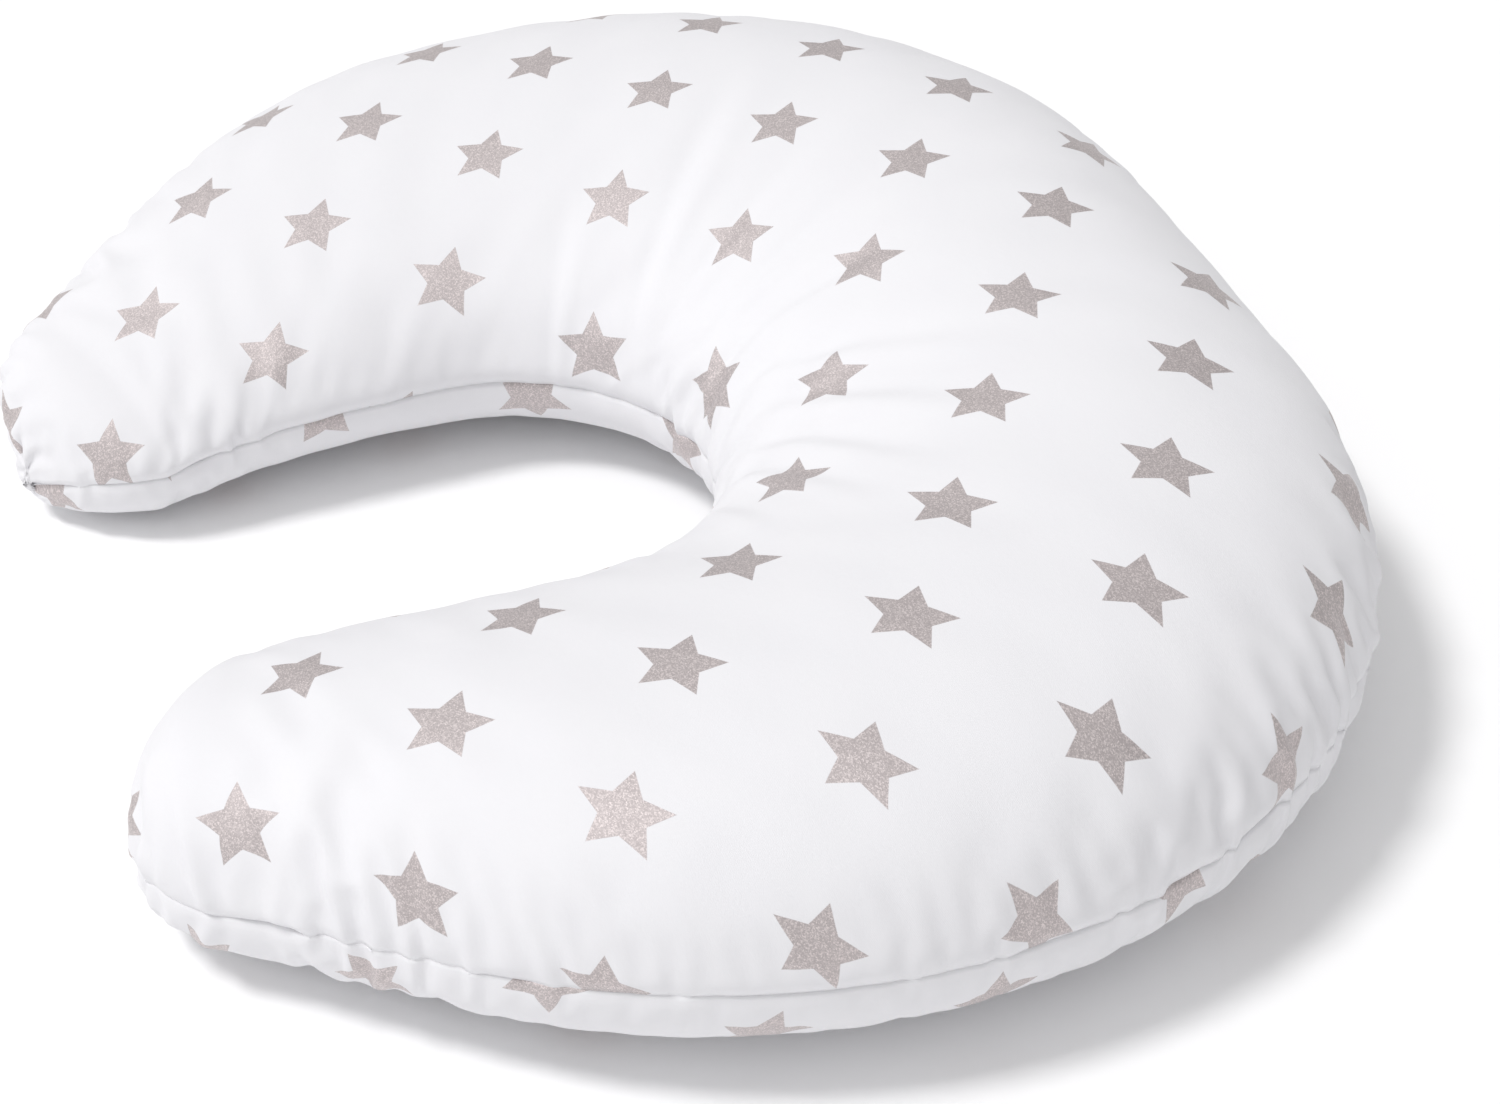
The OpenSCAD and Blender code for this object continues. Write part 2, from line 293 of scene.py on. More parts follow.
def extra_length(to_inner, to_outer):
    """By which share the cloth is longer than the pillow: most of all beside the gathered seams."""
    f = ALONG[:, None]
    outer_gather = 0.024 + 0.16 * bump(f, GATHER_AT, 0.17) + 0.18 * ramp(f, 0.8, 1.0)
    outer_reach = 20 + 18 * ramp(f, 0.8, 1.0)
    inner_gather = 0.012 + 0.045 * bump(f, 0, 0.24) + 0.07 * ramp(f, 0.82, 1.0)
    inner_reach = 14 + 50 * bump(f, 0, 0.26) + 20 * ramp(f, 0.85, 1.0)
    extra = outer_gather * np.exp(-to_outer / outer_reach) + inner_gather * np.exp(-to_inner / inner_reach)
    extra = extra * (1 - 0.85 * zip_share()[:, None] * bump(to_outer, 0, 30))
    everywhere, seam_pull = 0.004, 0.02
    extra = extra + everywhere
    return extra - seam_pull * np.exp(-to_outer / 2.5)


def stiffness(base, to_inner, to_outer):
    """Hold of the filling, and stiffness against bending along the pillow and round the section.

    The two are set so that wrinkles form at the wave length that suits the place.
    """
    f = ALONG[:, None]
    wave = 12 + 0.42 * np.minimum(to_outer, to_inner) + 9 * bump(f, 0, 0.3) * np.exp(-to_inner / 60)
    step_u = np.linalg.norm(np.gradient(base, axis=0), axis=2)
    step_v = np.linalg.norm(np.roll(base, -1, 1) - np.roll(base, 1, 1), axis=2) / 2
    hold = SOFTNESS * (2 * math.pi * step_u / wave) ** 2
    hold = np.clip(hold, *HOLD_RANGE) + HOLD_AT_ZIP * zip_share()[:, None] * bump(to_outer, 0, 16)
    on_ground = base[..., 2] < 0.5
    hold = np.where(on_ground, HOLD_ON_GROUND, hold)
    bend_u = np.clip(SOFTNESS * (wave / (2 * math.pi * step_u)) ** 2, 0, MOST_BEND)
    bend_v = np.clip(2 * SOFTNESS * (wave / (2 * math.pi * step_v)) ** 2, 0, MOST_BEND)
    return hold, bend_u, bend_v


def above_ground(grid):
    """Keeps the cloth from going below the floor."""
    grid[..., 2] = np.maximum(grid[..., 2], 0.0)
    return grid


def sim_cloth(base):
    """Relaxes the cover over its filling: the cloth is longer than the seams that gather it."""
    n = normals(base)
    to_inner, to_outer = seam_distance(base)
    extra = extra_length(to_inner, to_outer)
    hold, bend_u, bend_v = stiffness(base, to_inner, to_outer)

    def ends(grid, du, dv):
        return grid[:ROWS - du], np.roll(grid, -dv, 1)[du:]

    rest = []
    for (du, dv), _ in RING_SPRINGS:
        a, b = ends(base, du, dv)
        share = extra[:ROWS - du] * (1.0 if du else 0.25)
        rest.append(np.linalg.norm(b - a, axis=2) * (1 + share))
    fold_u = base[2:] - 2 * base[1:-1] + base[:-2]
    fold_v = np.roll(base, -1, 1) - 2 * base + np.roll(base, 1, 1)
    rng = np.random.default_rng(11)
    start = smooth(rng.normal(size=base.shape[:2]), 2, 2)
    x = base + n * (start / start.std() * 0.5)[..., None]
    speed = np.zeros_like(x)
    for _ in range(SIM_STEPS):
        force = np.zeros_like(x)
        for ((du, dv), stiff), length in zip(RING_SPRINGS, rest):
            a, b = ends(x, du, dv)
            d = b - a
            pull = stiff * (1 - length / (np.linalg.norm(d, axis=2) + 1e-9))[..., None] * d
            force[:ROWS - du] += pull
            force[du:] -= np.roll(pull, dv, 1)
        curl = bend_u[1:-1, :, None] * (x[2:] - 2 * x[1:-1] + x[:-2] - fold_u)
        force[1:-1] += 2 * curl
        force[2:] -= curl
        force[:-2] -= curl
        curl = bend_v[..., None] * (np.roll(x, -1, 1) - 2 * x + np.roll(x, 1, 1) - fold_v)
        force += 2 * curl - np.roll(curl, 1, 1) - np.roll(curl, -1, 1)
        away = x - base
        out = (away * n).sum(2)
        force -= (hold * out)[..., None] * n + DRAG_BACK * away
        speed = SIM_KEEPS * speed + SIM_PACE * force
        x = above_ground(x + speed)
    away = x - base
    out = (away * n).sum(2)
    # Only the wrinkles are kept: the slow part of the change would alter the pillow's outline.
    slow = smooth(out, 12, 8)
    x = x - slow[..., None] * n
    # The grid changes its spacing where the tips begin, which would leave a line across the arm.
    row = np.arange(ROWS)
    at_tip = np.minimum(np.abs(row - MIDDLE - HALF_ROWS), np.abs(MIDDLE - HALF_ROWS - row))
    blur = bump(at_tip, 0, 7.0)[:, None, None]
    return above_ground(x + blur * (smooth(x - base, 4, 2) - (x - base)))


# Soft creases that the seam's tension leaves in the top: from and to in the plan, height and width
CREASES = (
    ((-50, 0), (-168, 100), 1.7, 9.0),
    ((-44, 14), (-100, 112), 0.9, 8.0),
    ((4, 20), (72, 112), 1.1, 8.0),
    ((20, 14), (112, 92), 1.3, 8.0),
    ((36, 8), (128, 56), 1.5, 7.0),
    ((50, 0), (140, 30), 1.3, 6.5),
    ((62, -12), (136, -8), 1.1, 6.0),
    ((-8, 24), (-12, 120), 1.0, 8.0),
    ((-24, 20), (-62, 124), 0.8, 7.0),
    ((70, -40), (128, -52), 0.8, 6.0),
    ((-66, -30), (-124, 6), 0.8, 7.0),
)


CREASE_BOW = 7


def crease(grid):
    """Height of the creases over the top: ridges with one steeper side, a little bent in the plan."""
    total = np.zeros(grid.shape[:2])
    for (ax, ay), (bx, by), height, width in CREASES:
        length = math.hypot(bx - ax, by - ay)
        ux, uy = (bx - ax) / length, (by - ay) / length
        along = ((grid[..., 0] - ax) * ux + (grid[..., 1] - ay) * uy) / length
        aside = (grid[..., 1] - ay) * ux - (grid[..., 0] - ax) * uy + CREASE_BOW * along * (1 - along)
        spread = width * (0.45 + 0.75 * np.clip(along, 0, 1))
        fade = ramp(along, -0.05, 0.25) * (1 - ramp(along, 0.45, 1.05))
        valley = (aside - 1.15 * spread) / (0.9 * spread)
        ridge = np.exp(-((aside / spread) ** 2)) - 0.8 * np.exp(-(valley ** 2))
        total += height * fade * ridge
    return total


# Puckers: how far they reach from the seam, half their width, how they lean and how far apart they stand
PUCKER_REACH = (18, 50)
PUCKER_WIDTH = (2.2, 3.8)
PUCKER_LEAN = 0.25
PUCKER_STEP = (6, 15)
# They are lower on the bottom panel.
BOTTOM_PUCKERS = 0.6


def puckers(grid, to_inner, to_outer):
    """Height of the short creases that run away from both seams, where the cloth is gathered into them."""
    rng = np.random.default_rng(5)
    f = ALONG
    at_ends = ramp(f, 0.8, 1.0)
    at_outer = (0.2 + 2.3 * bump(f, GATHER_AT, 0.18) + 1.9 * at_ends) * (1 - zip_share())
    at_inner = 0.15 + 0.7 * bump(f, 0, 0.2) + 0.9 * at_ends
    total = np.zeros(grid.shape[:2])
    for column, distance, strength in ((TOP_COLS - 1, to_outer, at_outer), (0, to_inner, at_inner)):
        run = np.r_[0, np.cumsum(np.linalg.norm(np.diff(grid[:, column], axis=0), axis=1))]
        at = rng.uniform(4, 16)
        while at < run[-1]:
            height = strength[int(np.searchsorted(run, at))] * rng.uniform(0.4, 1.3)
            reach = rng.uniform(*PUCKER_REACH)
            width = rng.uniform(*PUCKER_WIDTH)
            slant = rng.normal(0, PUCKER_LEAN)
            aside = run[:, None] - at - slant * distance
            spread = width * (0.6 + 1.3 * distance / reach)
            fade = ramp(distance, 0.5, 5) * (1 - ramp(distance, 0.3 * reach, reach))
            ridge = np.exp(-((aside / spread) ** 2)) - 0.7 * np.exp(-((aside / spread - 1.7) ** 2))
            total += height * fade * ridge
            at += rng.uniform(*PUCKER_STEP)
    total[:, TOP_COLS:] *= BOTTOM_PUCKERS
    return total


# ---------------------------------------------------------------- flat cloth and its print
# The sheet is laid flat on a coarser net: every third cross-section and every fourth point of it.
NET_STEP = (3, 4)
NET_SPRINGS = (((1, 0), 1.0), ((0, 1), 1.0), ((1, 1), 0.4), ((1, -1), 0.4))
FLAT_STEPS = 1500
FLAT_KEEPS = 0.95
FLAT_PACE = 0.1


def flat_pattern(sheet, gather):
    """The sheet's points laid out flat, as the cloth was when it was printed and cut."""
    rows = np.arange(0, ROWS, NET_STEP[0])
    cols = np.arange(0, sheet.shape[1], NET_STEP[1])
    net = sheet[np.ix_(rows, cols)]
    middle = (net[:, 0, :2] + net[:, -1, :2]) / 2
    across = net[:, -1, :2] - net[:, 0, :2]
    across /= np.linalg.norm(across, axis=1)[:, None]
    step = np.linalg.norm(np.diff(net, axis=1), axis=2)
    run = np.concatenate([step[:, :1] * 0, np.cumsum(step, axis=1)], axis=1)
    run = run - run[:, -1:] / 2
    flat = middle[:, None] + run[..., None] * across[:, None]

    def ends(grid, du, dv):
        lo, hi = max(0, -dv), grid.shape[1] - max(0, dv)
        return grid[:grid.shape[0] - du, lo:hi], grid[du:, lo + dv:hi + dv]

    gather = 1 + gather[np.ix_(rows, cols)]
    rest = []
    for (du, dv), _ in NET_SPRINGS:
        a, b = ends(net, du, dv)
        share = ends(gather, du, dv)[0] if du else 1.0
        rest.append(np.linalg.norm(b - a, axis=2) * share)
    speed = np.zeros_like(flat)
    for _ in range(FLAT_STEPS):
        force = np.zeros_like(flat)
        for ((du, dv), stiff), length in zip(NET_SPRINGS, rest):
            a, b = ends(flat, du, dv)
            d = b - a
            pull = stiff * (1 - length / (np.linalg.norm(d, axis=2) + 1e-9))[..., None] * d
            fa, fb = ends(force, du, dv)
            fa += pull
            fb -= pull
        speed = FLAT_KEEPS * speed + FLAT_PACE * force
        flat = flat + speed
    full_rows = np.stack([np.stack([np.interp(np.arange(ROWS), rows, flat[:, j, k])
                                    for j in range(len(cols))], 1) for k in range(2)], 2)
    every = np.arange(sheet.shape[1])
    return np.stack([np.stack([np.interp(every, cols, full_rows[i, :, k])
                               for i in range(ROWS)], 0) for k in range(2)], 2)


# Factors of x^2, xy and y^2, over half the pillow's width, in the print's shift along x and along y
HALF_WIDTH = 300
PRINT_SHIFT_X = (-0.062, -0.13, -0.028)
PRINT_SHIFT_Y = (-0.056, 0.009, -0.038)


def printed(flat):
    """Where the print lies on the flat cloth: it is a little sheared and stretched by the sewing."""
    x, y = flat[..., 0] / HALF_WIDTH, flat[..., 1] / HALF_WIDTH
    shifts = [HALF_WIDTH * (a * x * x + b * x * y + c * y * y) for a, b, c in (PRINT_SHIFT_X, PRINT_SHIFT_Y)]
    return np.stack([flat[..., 0] + shifts[0], flat[..., 1] + shifts[1]], -1)


# ---------------------------------------------------------------- meshes
def make_mesh(name, points, faces, uv=None):
    """A smooth-shaded mesh object, from points in metres; uv has one row per point."""
    mesh = bpy.data.meshes.new(name)
    mesh.from_pydata([tuple(p) for p in points], [], faces)
    mesh.update()
    if uv is not None:
        layer = mesh.uv_layers.new(name="cloth")
        loops = np.zeros(len(mesh.loops), np.int32)
        mesh.loops.foreach_get("vertex_index", loops)
        layer.data.foreach_set("uv", uv[loops].astype(np.float32).ravel())
    mesh.polygons.foreach_set("use_smooth", [True] * len(mesh.polygons))
    obj = bpy.data.objects.new(name, mesh)
    bpy.context.scene.collection.objects.link(obj)
    return obj


def sheet_mesh(name, grid, uv, upward):
    """A grid of points as one sheet of cloth, closed at both arm tips by a fan of triangles."""
    rows, cols = grid.shape[:2]
    at = np.arange(rows * cols).reshape(rows, cols)
    quads = np.stack([at[:-1, :-1], at[1:, :-1], at[1:, 1:], at[:-1, 1:]], -1).reshape(-1, 4)
    points = [grid.reshape(-1, 3)]
    uvs = [uv.reshape(-1, 2)]
    faces = [tuple(q) for q in quads.tolist()]
    for k, (row, beside) in enumerate(((0, 1), (rows - 1, rows - 2))):
        rim = (grid[row, 0] + grid[row, -1]) / 2
        out = rim - (grid[beside, 0] + grid[beside, -1]) / 2
        points.append((rim + out * 0.5)[None])
        uvs.append(uv[row].mean(axis=0)[None])
        centre = rows * cols + k
        for j in range(cols - 1):
            a, b = int(at[row, j]), int(at[row, j + 1])
            faces.append((a, b, centre) if row == 0 else (b, a, centre))
    points = np.concatenate(points) * MM
    obj = make_mesh(name, points, faces, np.concatenate(uvs) * MM)
    middle = obj.data.polygons[(rows // 2) * (cols - 1) + cols // 2]
    if (middle.normal.z > 0) != upward:
        obj.data.flip_normals()
    return obj


def thicken(obj, thickness, fine):
    """Gives a sheet its thickness, inwards, and a finer mesh if asked."""
    if fine:
        sub = obj.modifiers.new("finer cloth", "SUBSURF")
        sub.levels = sub.render_levels = 1
    solid = obj.modifiers.new("cloth thickness", "SOLIDIFY")
    solid.thickness = thickness * MM
    solid.offset = -1


# How far from the seam the sheet gives way to the zip's slot
SLOT_REACH = 24


def open_slot(sheet, share):
    """Moves the rim of a sheet away from the seam line where the zip is, along the sheet itself."""
    out = sheet.copy()
    for i in np.nonzero(share > 0)[0]:
        line = sheet[i, ::-1]
        run = np.r_[0, np.cumsum(np.linalg.norm(np.diff(line, axis=0), axis=1))]
        moved = run + ZIP_SLOT * share[i] * np.clip(1 - run / SLOT_REACH, 0, 1) ** 2
        out[i, ::-1] = np.stack([np.interp(moved, run, line[:, k]) for k in range(3)], 1)
    return out


# ---------------------------------------------------------------- materials
class Finish:
    """A material with a Principled shader, and short ways to add nodes to it."""

    def __init__(self, name, **sockets):
        self.material = bpy.data.materials.new(name)
        self.material.use_nodes = True
        self.tree = self.material.node_tree
        self.shader = self.tree.nodes["Principled BSDF"]
        for key, value in sockets.items():
            self.shader.inputs[key.replace("_", " ")].default_value = value

    def add(self, kind, **settings):
        node = self.tree.nodes.new(kind)
        for key, value in settings.items():
            setattr(node, key, value)
        return node

    def link(self, out, socket):
        self.tree.links.new(out, socket)

    def put(self, out, name):
        """Links an output to the shader's socket of that name."""
        self.link(out, self.shader.inputs[name])

    def math(self, operation, *values, clamp=False):
        node = self.add("ShaderNodeMath", operation=operation, use_clamp=clamp)
        for k, value in enumerate(values):
            if isinstance(value, (int, float)):
                node.inputs[k].default_value = value
            else:
                self.link(value, node.inputs[k])
        return node.outputs[0]

    def noise(self, vector, scale, detail=3.0, roughness=0.5):
        node = self.add("ShaderNodeTexNoise")
        node.inputs["Scale"].default_value = scale
        node.inputs["Detail"].default_value = detail
        node.inputs["Roughness"].default_value = roughness
        self.link(vector, node.inputs["Vector"])
        return node.outputs["Fac"]

    def mix(self, share, a, b):
        """Colour a where the share is 0 and b where it is 1; a colour is (r, g, b) or an output."""
        node = self.add("ShaderNodeMix", data_type="RGBA")
        for value, name, kind in ((share, "Factor", "VALUE"), (a, "A", "RGBA"), (b, "B", "RGBA")):
            # The node has several sockets of each name, and only those of this kind are in use.
            socket = next(s for s in node.inputs if s.name == name and s.type == kind)
            if isinstance(value, tuple):
                socket.default_value = value + (1,)
            else:
                self.link(value, socket)
        return next(o for o in node.outputs if o.type == "RGBA")

    def bump(self, height, distance, strength, normal=None):
        node = self.add("ShaderNodeBump")
        node.inputs["Strength"].default_value = strength
        node.inputs["Distance"].default_value = distance
        self.link(height, node.inputs["Height"])
        if normal is not None:
            self.link(normal, node.inputs["Normal"])
        return node.outputs["Normal"]

    def cloth_uv(self):
        node = self.add("ShaderNodeUVMap", uv_map="cloth")
        return node.outputs["UV"]

    def split(self, vector):
        """The three parts of a vector or colour."""
        node = self.add("ShaderNodeSeparateXYZ")
        self.link(vector, node.inputs[0])
        return list(node.outputs)

    def place(self):
        """Object coordinates, in metres."""
        return self.add("ShaderNodeTexCoord").outputs["Object"]

    def weave(self, x, y, pitch):
        """Height of a plain weave, from 0 to 1, with threads of that pitch."""
        turn = 2 * math.pi / pitch
        a = self.math("SINE", self.math("MULTIPLY", x, turn))
        b = self.math("SINE", self.math("MULTIPLY", y, turn))
        return self.math("MULTIPLY_ADD", self.math("MULTIPLY", a, b), 0.5, 0.5)


def darker(colour, share):
    return tuple(c * share for c in colour)


# The print: a star's outer radius, the steps between columns and in a column, its turn on the cloth in
# radians, its notches' share of the radius, and how wide the blur at its edge is
STAR_R = 15.7 * MM
COLUMN_STEP = 51.8 * MM
STAR_STEP = 77.0 * MM
PRINT_TURN = 0.012
STAR_NOTCH = 0.5
STAR_BLUR = 0.25 * MM


def star_mask(m, x, y):
    """1 inside the printed stars, which stand in staggered columns."""
    c, s = math.cos(PRINT_TURN), math.sin(PRINT_TURN)
    across = m.math("ADD", m.math("MULTIPLY", x, c), m.math("MULTIPLY", y, s))
    along = m.math("SUBTRACT", m.math("MULTIPLY", y, c), m.math("MULTIPLY", x, s))
    column = m.math("ROUND", m.math("DIVIDE", across, COLUMN_STEP))
    odd = m.math("PINGPONG", column, 1.0)
    px = m.math("SUBTRACT", across, m.math("MULTIPLY", column, COLUMN_STEP))
    shifted = m.math("SUBTRACT", along, m.math("MULTIPLY", odd, STAR_STEP / 2))
    row = m.math("ROUND", m.math("DIVIDE", shifted, STAR_STEP))
    py = m.math("SUBTRACT", shifted, m.math("MULTIPLY", row, STAR_STEP))
    angle = m.math("ARCTAN2", py, px)
    radius = m.math("SQRT", m.math("ADD", m.math("MULTIPLY", px, px), m.math("MULTIPLY", py, py)))
    folded = m.math("PINGPONG", angle, math.pi / 5)
    fx = m.math("MULTIPLY", radius, m.math("COSINE", folded))
    fy = m.math("MULTIPLY", radius, m.math("SINE", folded))
    notch_x = STAR_R * STAR_NOTCH * math.cos(math.pi / 5)
    notch_y = STAR_R * STAR_NOTCH * math.sin(math.pi / 5)
    side = math.hypot(notch_y, STAR_R - notch_x)
    edge = m.math("ADD", m.math("MULTIPLY", m.math("SUBTRACT", fx, STAR_R), notch_y / side),
                  m.math("MULTIPLY", fy, (STAR_R - notch_x) / side))
    return m.math("MULTIPLY_ADD", edge, -1 / STAR_BLUR, 0.5, clamp=True)


# Cotton between its two whites, with slubs, and stars of glitter print between their two greys
COTTON = ((0.806, 0.802, 0.83), (0.836, 0.832, 0.852))
SLUB = (0.77, 0.77, 0.80)
SILVER = ((0.54, 0.495, 0.495), (0.80, 0.74, 0.735))
COTTON_ROUGH = 0.84
SILVER_SMOOTHER = -0.14
SILVER_METALLIC = 0.9
COTTON_THREADS = 0.62 * MM


def cover_cloth(name, origin):
    """White cotton with silvery stars. origin is the middle of one star on the flat cloth."""
    m = Finish(name, Roughness=COTTON_ROUGH, Sheen_Weight=0.12, Sheen_Roughness=0.5)
    uv = m.cloth_uv()
    x, y, _ = m.split(uv)
    star = star_mask(m, m.math("SUBTRACT", x, origin[0] * MM), m.math("SUBTRACT", y, origin[1] * MM))
    slubs = m.noise(uv, 700.0, 4.0, 0.7)
    clouds = m.noise(uv, 38.0, 3.0, 0.5)
    white = m.mix(clouds, *COTTON)
    white = m.mix(m.math("MULTIPLY", slubs, 0.22), white, SLUB)
    flakes = m.add("ShaderNodeTexVoronoi")
    flakes.inputs["Scale"].default_value = 2500.0
    m.link(uv, flakes.inputs["Vector"])
    glint = m.math("POWER", m.split(flakes.outputs["Color"])[0], 2.2)
    m.put(m.mix(star, white, m.mix(glint, *SILVER)), "Base Color")
    m.put(m.math("MULTIPLY_ADD", star, SILVER_SMOOTHER, COTTON_ROUGH), "Roughness")
    m.put(m.math("MULTIPLY", star, SILVER_METALLIC), "Metallic")
    weave = m.weave(x, y, COTTON_THREADS)
    rough = m.math("ADD", m.math("MULTIPLY", weave, 0.6), m.math("MULTIPLY", slubs, 0.7))
    normal = m.bump(rough, 0.08 * MM, 0.6)
    m.put(m.bump(m.noise(uv, 160.0, 2.0, 0.5), 0.25 * MM, 0.4, normal), "Normal")
    return m.material


def plain_cloth(name, light, dark, pitch, rough=0.85):
    """An unprinted woven cloth."""
    m = Finish(name, Roughness=rough, Sheen_Weight=0.1)
    place = m.place()
    x, y, _ = m.split(place)
    m.put(m.mix(m.noise(place, 60.0), light, dark), "Base Color")
    m.put(m.bump(m.weave(x, y, pitch * MM), 0.08 * MM, 0.6), "Normal")
    return m.material


def thread(name, colour):
    """Spun sewing thread."""
    m = Finish(name, Roughness=0.6, Sheen_Weight=0.3)
    ply = m.noise(m.place(), 2500.0, 2.0)
    m.put(m.mix(ply, darker(colour, 0.9), colour), "Base Color")
    m.put(m.bump(ply, 0.05 * MM, 0.5), "Normal")
    return m.material


# Width of the tape's zigzags, and the step between its ribs
TAPE_ZIGZAG = 1.2 * MM
TAPE_RIBS = 0.9 * MM


def tape_weave(name):
    """Zip tape: a fine herringbone, which follows the zip round the shoulder."""
    m = Finish(name, Roughness=0.7, Sheen_Weight=0.2)
    x, y, z = m.split(m.place())
    angle = m.math("ARCTAN2", m.math("SUBTRACT", y, PLAN["sy"] * MM), m.math("ADD", x, PLAN["sx"] * MM))
    run = m.math("MULTIPLY", angle, SHOULDER_R * MM)
    zigzag = m.math("PINGPONG", z, TAPE_ZIGZAG)
    ribs = m.math("SINE", m.math("MULTIPLY", m.math("ADD", run, zigzag), 2 * math.pi / TAPE_RIBS))
    height = m.math("MULTIPLY_ADD", ribs, 0.5, 0.5)
    m.put(m.mix(height, (0.72, 0.72, 0.75), (0.85, 0.85, 0.87)), "Base Color")
    m.put(m.bump(height, 0.12 * MM, 0.7), "Normal")
    return m.material


def plastic(name, colour, rough):
    """Moulded or drawn plastic."""
    m = Finish(name, Roughness=rough)
    cloud = m.noise(m.place(), 300.0)
    m.put(m.mix(cloud, darker(colour, 0.95), colour), "Base Color")
    m.put(m.bump(cloud, 0.02 * MM, 0.4), "Normal")
    return m.material


def metal(name, colour, rough, metallic):
    """Enamelled or bare metal with fine marks from handling."""
    m = Finish(name, Metallic=metallic)
    place = m.place()
    wear = m.noise(place, 500.0, 5.0, 0.7)
    m.put(m.mix(wear, darker(colour, 0.9), colour), "Base Color")
    m.put(m.math("MULTIPLY_ADD", wear, 0.2, rough - 0.1), "Roughness")
    m.put(m.bump(m.noise(place, 1800.0, 2.0), 0.01 * MM, 0.5), "Normal")
    return m.material


def fibre(name):
    """Curly polyester fibre: a tangle of fine strands."""
    m = Finish(name, Roughness=0.9, Sheen_Weight=0.4)
    strands = m.noise(m.place(), 260.0, 6.0, 0.75)
    m.put(m.mix(strands, (0.8, 0.8, 0.82), (0.93, 0.93, 0.94)), "Base Color")
    m.put(m.bump(strands, 2 * MM, 0.8), "Normal")
    return m.material


def give(obj, material):
    obj.data.materials.clear()
    obj.data.materials.append(material)


def settle(obj, material, node):
    """The last step for every new piece; they all belong to the pillow's own body."""
    give(obj, material)
    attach(obj, "pillow")
    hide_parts(node)


# ---------------------------------------------------------------- cover
# Bulge of the cloth beside a seam, on the top and on the bottom, and how wide it is at each seam
TOP_BULGE, BOTTOM_BULGE = 0.5, -0.3
OUTER_ROLL, INNER_ROLL = 8.0, 7.0
COVER_THICK = 1.1
# Middle of one star on each panel's flat cloth
PRINT_ORIGINS = {"cover_top_panel": (144.1, -30.0), "cover_bottom_panel": (77.2, 66.9)}

top_sheet, bottom_sheet = sections()
rings = ring_grid(top_sheet, bottom_sheet)
to_inner, to_outer = seam_distance(rings)
bulge = np.where(np.arange(rings.shape[1]) < TOP_COLS, TOP_BULGE, BOTTOM_BULGE)
roll = seam_roll(to_outer, OUTER_ROLL, bulge) * (1 - zip_share()[:, None])
roll = roll + seam_roll(to_inner, INNER_ROLL, bulge)
rings = above_ground(rings + normals(rings) * roll[..., None])
rings = sim_cloth(rings)
rings = above_ground(rings + normals(rings) * puckers(rings, to_inner, to_outer)[..., None])
rings[:, :TOP_COLS] += normals(rings)[:, :TOP_COLS] * crease(rings[:, :TOP_COLS])[..., None]
top_grid = rings[:, :TOP_COLS]
bottom_grid = np.concatenate([rings[:, :1], rings[:, :TOP_COLS - 2:-1]], axis=1)


def gathers(sheet):
    """How much longer the cut cloth is than the finished pillow, along the seams."""
    step = np.linalg.norm(np.diff(sheet, axis=1), axis=2)
    run = np.concatenate([step[:, :1] * 0, np.cumsum(step, axis=1)], axis=1)
    crown = bump(ALONG[:, None], 0, 0.35)
    return 0.25 * crown * np.exp(-run / 60) + 0.05 * np.exp((run - run[:, -1:]) / 30)


top_flat = flat_pattern(top_sheet, gathers(top_sheet))
bottom_flat = flat_pattern(bottom_sheet, gathers(bottom_sheet))
open_top, open_bottom = open_slot(top_grid, zip_share()), open_slot(bottom_grid, zip_share())
top = sheet_mesh("cover_top", open_top, printed(top_flat), True)
bottom = sheet_mesh("cover_bottom", open_bottom, printed(bottom_flat), False)
for panel, flat, node in ((top, top_flat, "cover_top_panel"), (bottom, bottom_flat, "cover_bottom_panel")):
    thicken(panel, COVER_THICK, True)
    settle(panel, cover_cloth(f"printed cotton {node}", PRINT_ORIGINS[node]), node)

# ---------------------------------------------------------------- inner pillow
CASING_INSET, CASING_SUNK = 8.0, 4.5
FILLING_INSET, FILLING_SUNK = 10.0, 6.0
CASING_THICK = 0.8

casing_cloth = plain_cloth("casing cloth", (0.86, 0.85, 0.82), (0.80, 0.79, 0.76), 0.8)
casing = sections(inset=CASING_INSET, sunk=CASING_SUNK)
for grid, name, node, up in ((casing[0], "casing_top", "inner_casing_top", True),
                             (casing[1], "casing_bottom", "inner_casing_bottom", False)):
    flat = flat_pattern(grid, np.zeros(grid.shape[:2]))
    piece = sheet_mesh(name, grid, flat, up)
    thicken(piece, CASING_THICK, False)
    settle(piece, casing_cloth, node)
core = ring_grid(*sections(inset=FILLING_INSET, sunk=FILLING_SUNK))
index = np.arange(ROWS * core.shape[1]).reshape(ROWS, -1)
around = np.roll(index, -1, 1)
quads = np.stack([index[:-1], index[1:], around[1:], around[:-1]], -1).reshape(-1, 4).tolist()
quads += [index[0].tolist()[::-1], index[-1].tolist()]
fill = make_mesh("fibre_filling", core.reshape(-1, 3) * MM, quads)
settle(fill, fibre("polyester fibre"), "fibre_fill")

# ---------------------------------------------------------------- threads
def resample(path, positions):
    """Points at these distances along a path."""
    run = np.r_[0, np.cumsum(np.linalg.norm(np.diff(path, axis=0), axis=1))]
    return np.stack([np.interp(positions, run, path[:, k]) for k in range(3)], 1)


def length_of(path):
    return float(np.linalg.norm(np.diff(path, axis=0), axis=1).sum())


